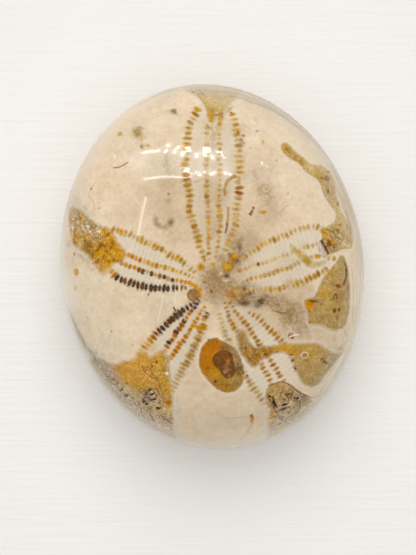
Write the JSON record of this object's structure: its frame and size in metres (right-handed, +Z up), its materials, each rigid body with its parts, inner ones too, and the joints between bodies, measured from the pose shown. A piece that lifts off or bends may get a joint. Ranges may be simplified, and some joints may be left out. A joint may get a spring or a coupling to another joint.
{
  "type": "fossil sand dollar",
  "caption": "Polished fossil sand dollar: a low oval dome with a petal pattern on top, a flat, slightly hollow base and a five-sided mouth pit. It lies on its base.",
  "frame": {"origin": "on the resting surface, under the middle of the stone's bounding box", "axes": "+Z up, out of the top of the dome; +Y from the top of the dome along the front petal, the front of the animal; +X to the right when seen from above with the front petal pointing away"},
  "size_m": [0.0416, 0.0498, 0.022],
  "materials": {
    "polished_calcite": "polished"
  },
  "bodies": {
    "root": {"sand_dollar": "polished_calcite"}
  },
  "joints": []
}
